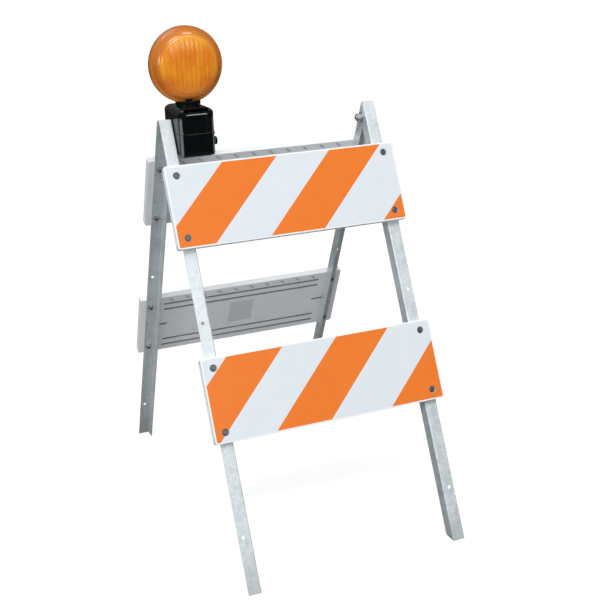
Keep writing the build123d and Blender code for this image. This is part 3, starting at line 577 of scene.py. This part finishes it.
def pivot_fasteners(finishes):
    """The right pivot's bolt and nut and the long lamp bolt and its nut, placed from their boxes."""
    steel = finishes["plated_steel"]
    for name, sign, threaded in (("right_pivot_bolt", -1, 24 * MM), ("lamp_bolt", 1, 30 * MM)):
        low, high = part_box(name)
        y, z = (low.y + high.y) / 2, (low.z + high.z) / 2
        seat = high.x - PIVOT_HEAD if sign < 0 else low.x + PIVOT_HEAD
        length = high.x - low.x - PIVOT_HEAD
        shape = bolt((seat, y, z), (sign, 0, 0), PIVOT_BOLT, length, PIVOT_FLATS, PIVOT_HEAD,
                     PIVOT_PITCH, threaded)
        stand_for(make_piece(f"{name}_threaded", [shape], steel), name)
        nut_name = name.replace("pivot_bolt", "pivot_nut").replace("lamp_bolt", "lamp_bolt_nut")
        nut_low, nut_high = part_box(nut_name)
        face = nut_high.x if sign < 0 else nut_low.x
        shape = nut((face, y, z), (sign, 0, 0), PIVOT_BOLT, PIVOT_FLATS, PIVOT_NUT)
        stand_for(make_piece(f"{nut_name}_chamfered", [shape], steel), nut_name)


# --- the lens ------------------------------------------------------------------------------------------
LENS_RADIUS = 91.0 * MM
LENS_SKIN = 2.4 * MM
LENS_FOOT = 82.0 * MM
FOOT_HEIGHT = 8.0 * MM
DOME_RISE = 30.0 * MM
FLUTE_PITCH = 11.5 * MM
FLUTE_DEPTH = 0.7 * MM
FLUTED_TO = 64.0 * MM
RING_GROOVE = 69.0 * MM
LENS_STEPS = 288
SOCKET_RADIUS = 12.0 * MM
SCREW_CIRCLE = 84.5 * MM
SCREW_TURNS = (90, 210, 330)  # degrees from the lens's right


def lens_centre():
    """The middle of the lens: the top of its rim, less its radius."""
    low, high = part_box("lens_gasket")
    return np.array(((low.x + high.x) / 2, 0.0, high.z - LENS_RADIUS))


def dome(radius, reach, rise):
    """Height over the foot of a rounded, flat-topped dome: a superellipse of revolution."""
    return rise * (1 - np.clip(radius / reach, 0, 1) ** 3.6) ** (1 / 2.4)


def lens_half(name, node, sign, material):
    """A fluted dome, its wall, rim and inner face, turned about the lens's axis.

    The section starts at the middle of the inner face, runs out to the rim and back over the
    outer face. On the crown the outer face is drawn in by parallel upright flutes, and a narrow
    ring groove parts the crown from the wall.
    """
    spread = np.sin(np.linspace(0.02, 1, 70) * pi / 2)
    outer_radius = LENS_FOOT * spread[::-1]
    inner_reach = LENS_FOOT - 0.75 * LENS_SKIN
    inner_radius = inner_reach * spread
    inner_height = dome(inner_radius, inner_reach, DOME_RISE - 0.4 * LENS_SKIN)
    inner_height = inner_height + FOOT_HEIGHT - 0.6 * LENS_SKIN
    rim = np.array([(88.5, 4.0), (88.6, 0.6), (91.0, 0.6), (91.0, 5.2), (90.6, 5.8), (89.9, 6.0)]) * MM
    radius = np.r_[inner_radius, rim[:, 0], outer_radius][:, None] * np.ones(LENS_STEPS)
    outer_height = dome(outer_radius, LENS_FOOT, DOME_RISE) + FOOT_HEIGHT
    height = np.r_[inner_height, rim[:, 1], outer_height][:, None]
    outer = np.arange(len(radius))[:, None] >= len(inner_radius) + len(rim)
    axis = np.array((0.0, sign, 0.0))
    flat = rings((0, 0, 0), axis, radius, np.zeros_like(radius))
    flute = 0.5 - 0.5 * np.cos(flat[..., 0] * (2 * pi / FLUTE_PITCH))
    fade = np.clip((FLUTED_TO - radius) / (6 * MM), 0, 1)
    groove = np.exp(-(((radius - RING_GROOVE) / (1.3 * MM)) ** 2))
    height = height - outer * (FLUTE_DEPTH * flute * fade + 0.8 * MM * groove)
    centre = lens_centre()
    half = make_piece(name, [solid(rings(centre, axis, radius, height))], material, crease=50)
    # The neck's socket, and in the rear half the screws' holes and the seats of their heads.
    low = centre - np.array((0, 0, LENS_RADIUS + 1 * MM))
    socket_heights = np.array(((0.0,), (14 * MM,))) * np.ones(TURN_STEPS)
    cutters = [solid(rings(low, (0, 0, 1), np.full((2, TURN_STEPS), SOCKET_RADIUS), socket_heights))]
    if sign > 0:
        section = np.array([(1.6, -2.0), (1.6, 4.6), (3.0, 4.6), (3.0, 12.0)]) * MM
        section = section[:, :, None] * np.ones(TURN_STEPS)
        for turn in SCREW_TURNS:
            place = centre + SCREW_CIRCLE * np.array((cos(radians(turn)), 0, sin(radians(turn))))
            cutters.append(solid(rings(place, (0, 1, 0), section[:, 0], section[:, 1])))
    cut(half, make_piece("cutter", cutters, None))
    stand_for(half, node)


def lens_pieces(finishes):
    lens_half("front_lens_fluted", "front_lens", -1, finishes["amber_lens"])
    lens_half("rear_lens_fluted", "rear_lens", 1, finishes["amber_lens"])


# --- camera, floor and light -----------------------------------------------------------------------
CAMERA_PLACE = Vector((-0.97366, -2.51001, 1.43495))
CAMERA_YAW = radians(22.491)
CAMERA_PITCH = radians(-18.542)
CAMERA_ROLL = radians(-1.918)
CAMERA_LENS = 64.23


def set_camera():
    data = bpy.data.cameras.new("camera")
    data.lens = CAMERA_LENS
    data.clip_end = 100
    camera = bpy.data.objects.new("camera", data)
    bpy.context.scene.collection.objects.link(camera)
    level = cos(CAMERA_PITCH)
    forward = Vector((sin(CAMERA_YAW) * level, cos(CAMERA_YAW) * level, sin(CAMERA_PITCH)))
    right = Vector((cos(CAMERA_YAW), -sin(CAMERA_YAW), 0))
    up = right.cross(forward)
    tilted_right = cos(CAMERA_ROLL) * right + sin(CAMERA_ROLL) * up
    tilted_up = cos(CAMERA_ROLL) * up - sin(CAMERA_ROLL) * right
    turn = Matrix((tilted_right, tilted_up, -forward)).transposed().to_4x4()
    camera.matrix_world = Matrix.Translation(CAMERA_PLACE) @ turn
    bpy.context.scene.camera = camera


def add_light(name, kind, place, aim, energy, **settings):
    data = bpy.data.lights.new(name, kind)
    data.energy = energy
    for key, value in settings.items():
        setattr(data, key, value)
    light = bpy.data.objects.new(name, data)
    bpy.context.scene.collection.objects.link(light)
    light.location = place
    light.rotation_euler = (Vector(aim) - Vector(place)).to_track_quat("-Z", "Y").to_euler()


def seen_or_lit(place, shade, dim):
    """One shade for what the camera sees and another for what lights the object."""
    return mix(place.node("LightPath", None, None, "Is Camera Ray"), dim, shade)


def set_floor():
    """A wide pale floor, bright to look at, but dark where shiny parts mirror it."""
    mesh = bpy.data.meshes.new("floor")
    reach = 60.0
    corners = [(-reach, -reach, 0), (reach, -reach, 0), (reach, reach, 0), (-reach, reach, 0)]
    mesh.from_pydata(corners, [], [(0, 1, 2, 3)])
    floor = bpy.data.objects.new("floor", mesh)
    bpy.context.scene.collection.objects.link(floor)
    f = Finish("floor", Roughness=0.9, Emission_Strength=0.76)
    mirrored = f.place.node("LightPath", None, None, "Is Glossy Ray")
    f.set(mix(mirrored, (0.36, 0.36, 0.36), (0.05, 0.05, 0.05)))
    glow = seen_or_lit(f.place, (1, 1, 1), (0, 0, 0))
    f.tree.links.new(glow.socket, f.shader.inputs["Emission Color"])
    mesh.materials.append(f.material)


def set_light():
    """A steep soft key, softboxes left, overhead and in front, and a sky that is dimmer low down."""
    world = bpy.data.worlds.new("world")
    bpy.context.scene.world = world
    world.use_nodes = True
    tree = world.node_tree
    place = Wire(tree, tree.nodes.new("ShaderNodeTexCoord").outputs["Generated"])
    sky = mix(step(part_of(place, 2), -0.1, 0.75), (0.10, 0.115, 0.125), (0.44, 0.455, 0.47))
    shade = seen_or_lit(place, (0.985, 0.985, 0.985), sky)
    tree.links.new(shade.socket, tree.nodes["Background"].inputs["Color"])
    add_light("key", "SUN", (-1.0, -2.6, 3.7), (0, 0, 0), 1.45, angle=radians(24))
    add_light("left_softbox", "AREA", (-3.2, -1.6, 1.7), (-0.2, 0, 1.0), 26, size=0.7)
    add_light("top_softbox", "AREA", (0.5, -0.5, 3.6), (-0.2, 0, 1.0), 18, size=0.8)
    add_light("front_softbox", "AREA", (0.0, -3.3, 2.1), (-0.2, 0, 1.0), 16, size=0.9)
    bpy.context.scene.view_settings.view_transform = "Standard"


# --- everything ---------------------------------------------------------------------------------------
set_camera()
set_floor()
set_light()
finishes = make_finishes()
finish_nodes(finishes)
panel_fasteners(finishes)
pivot_fasteners(finishes)
lens_pieces(finishes)
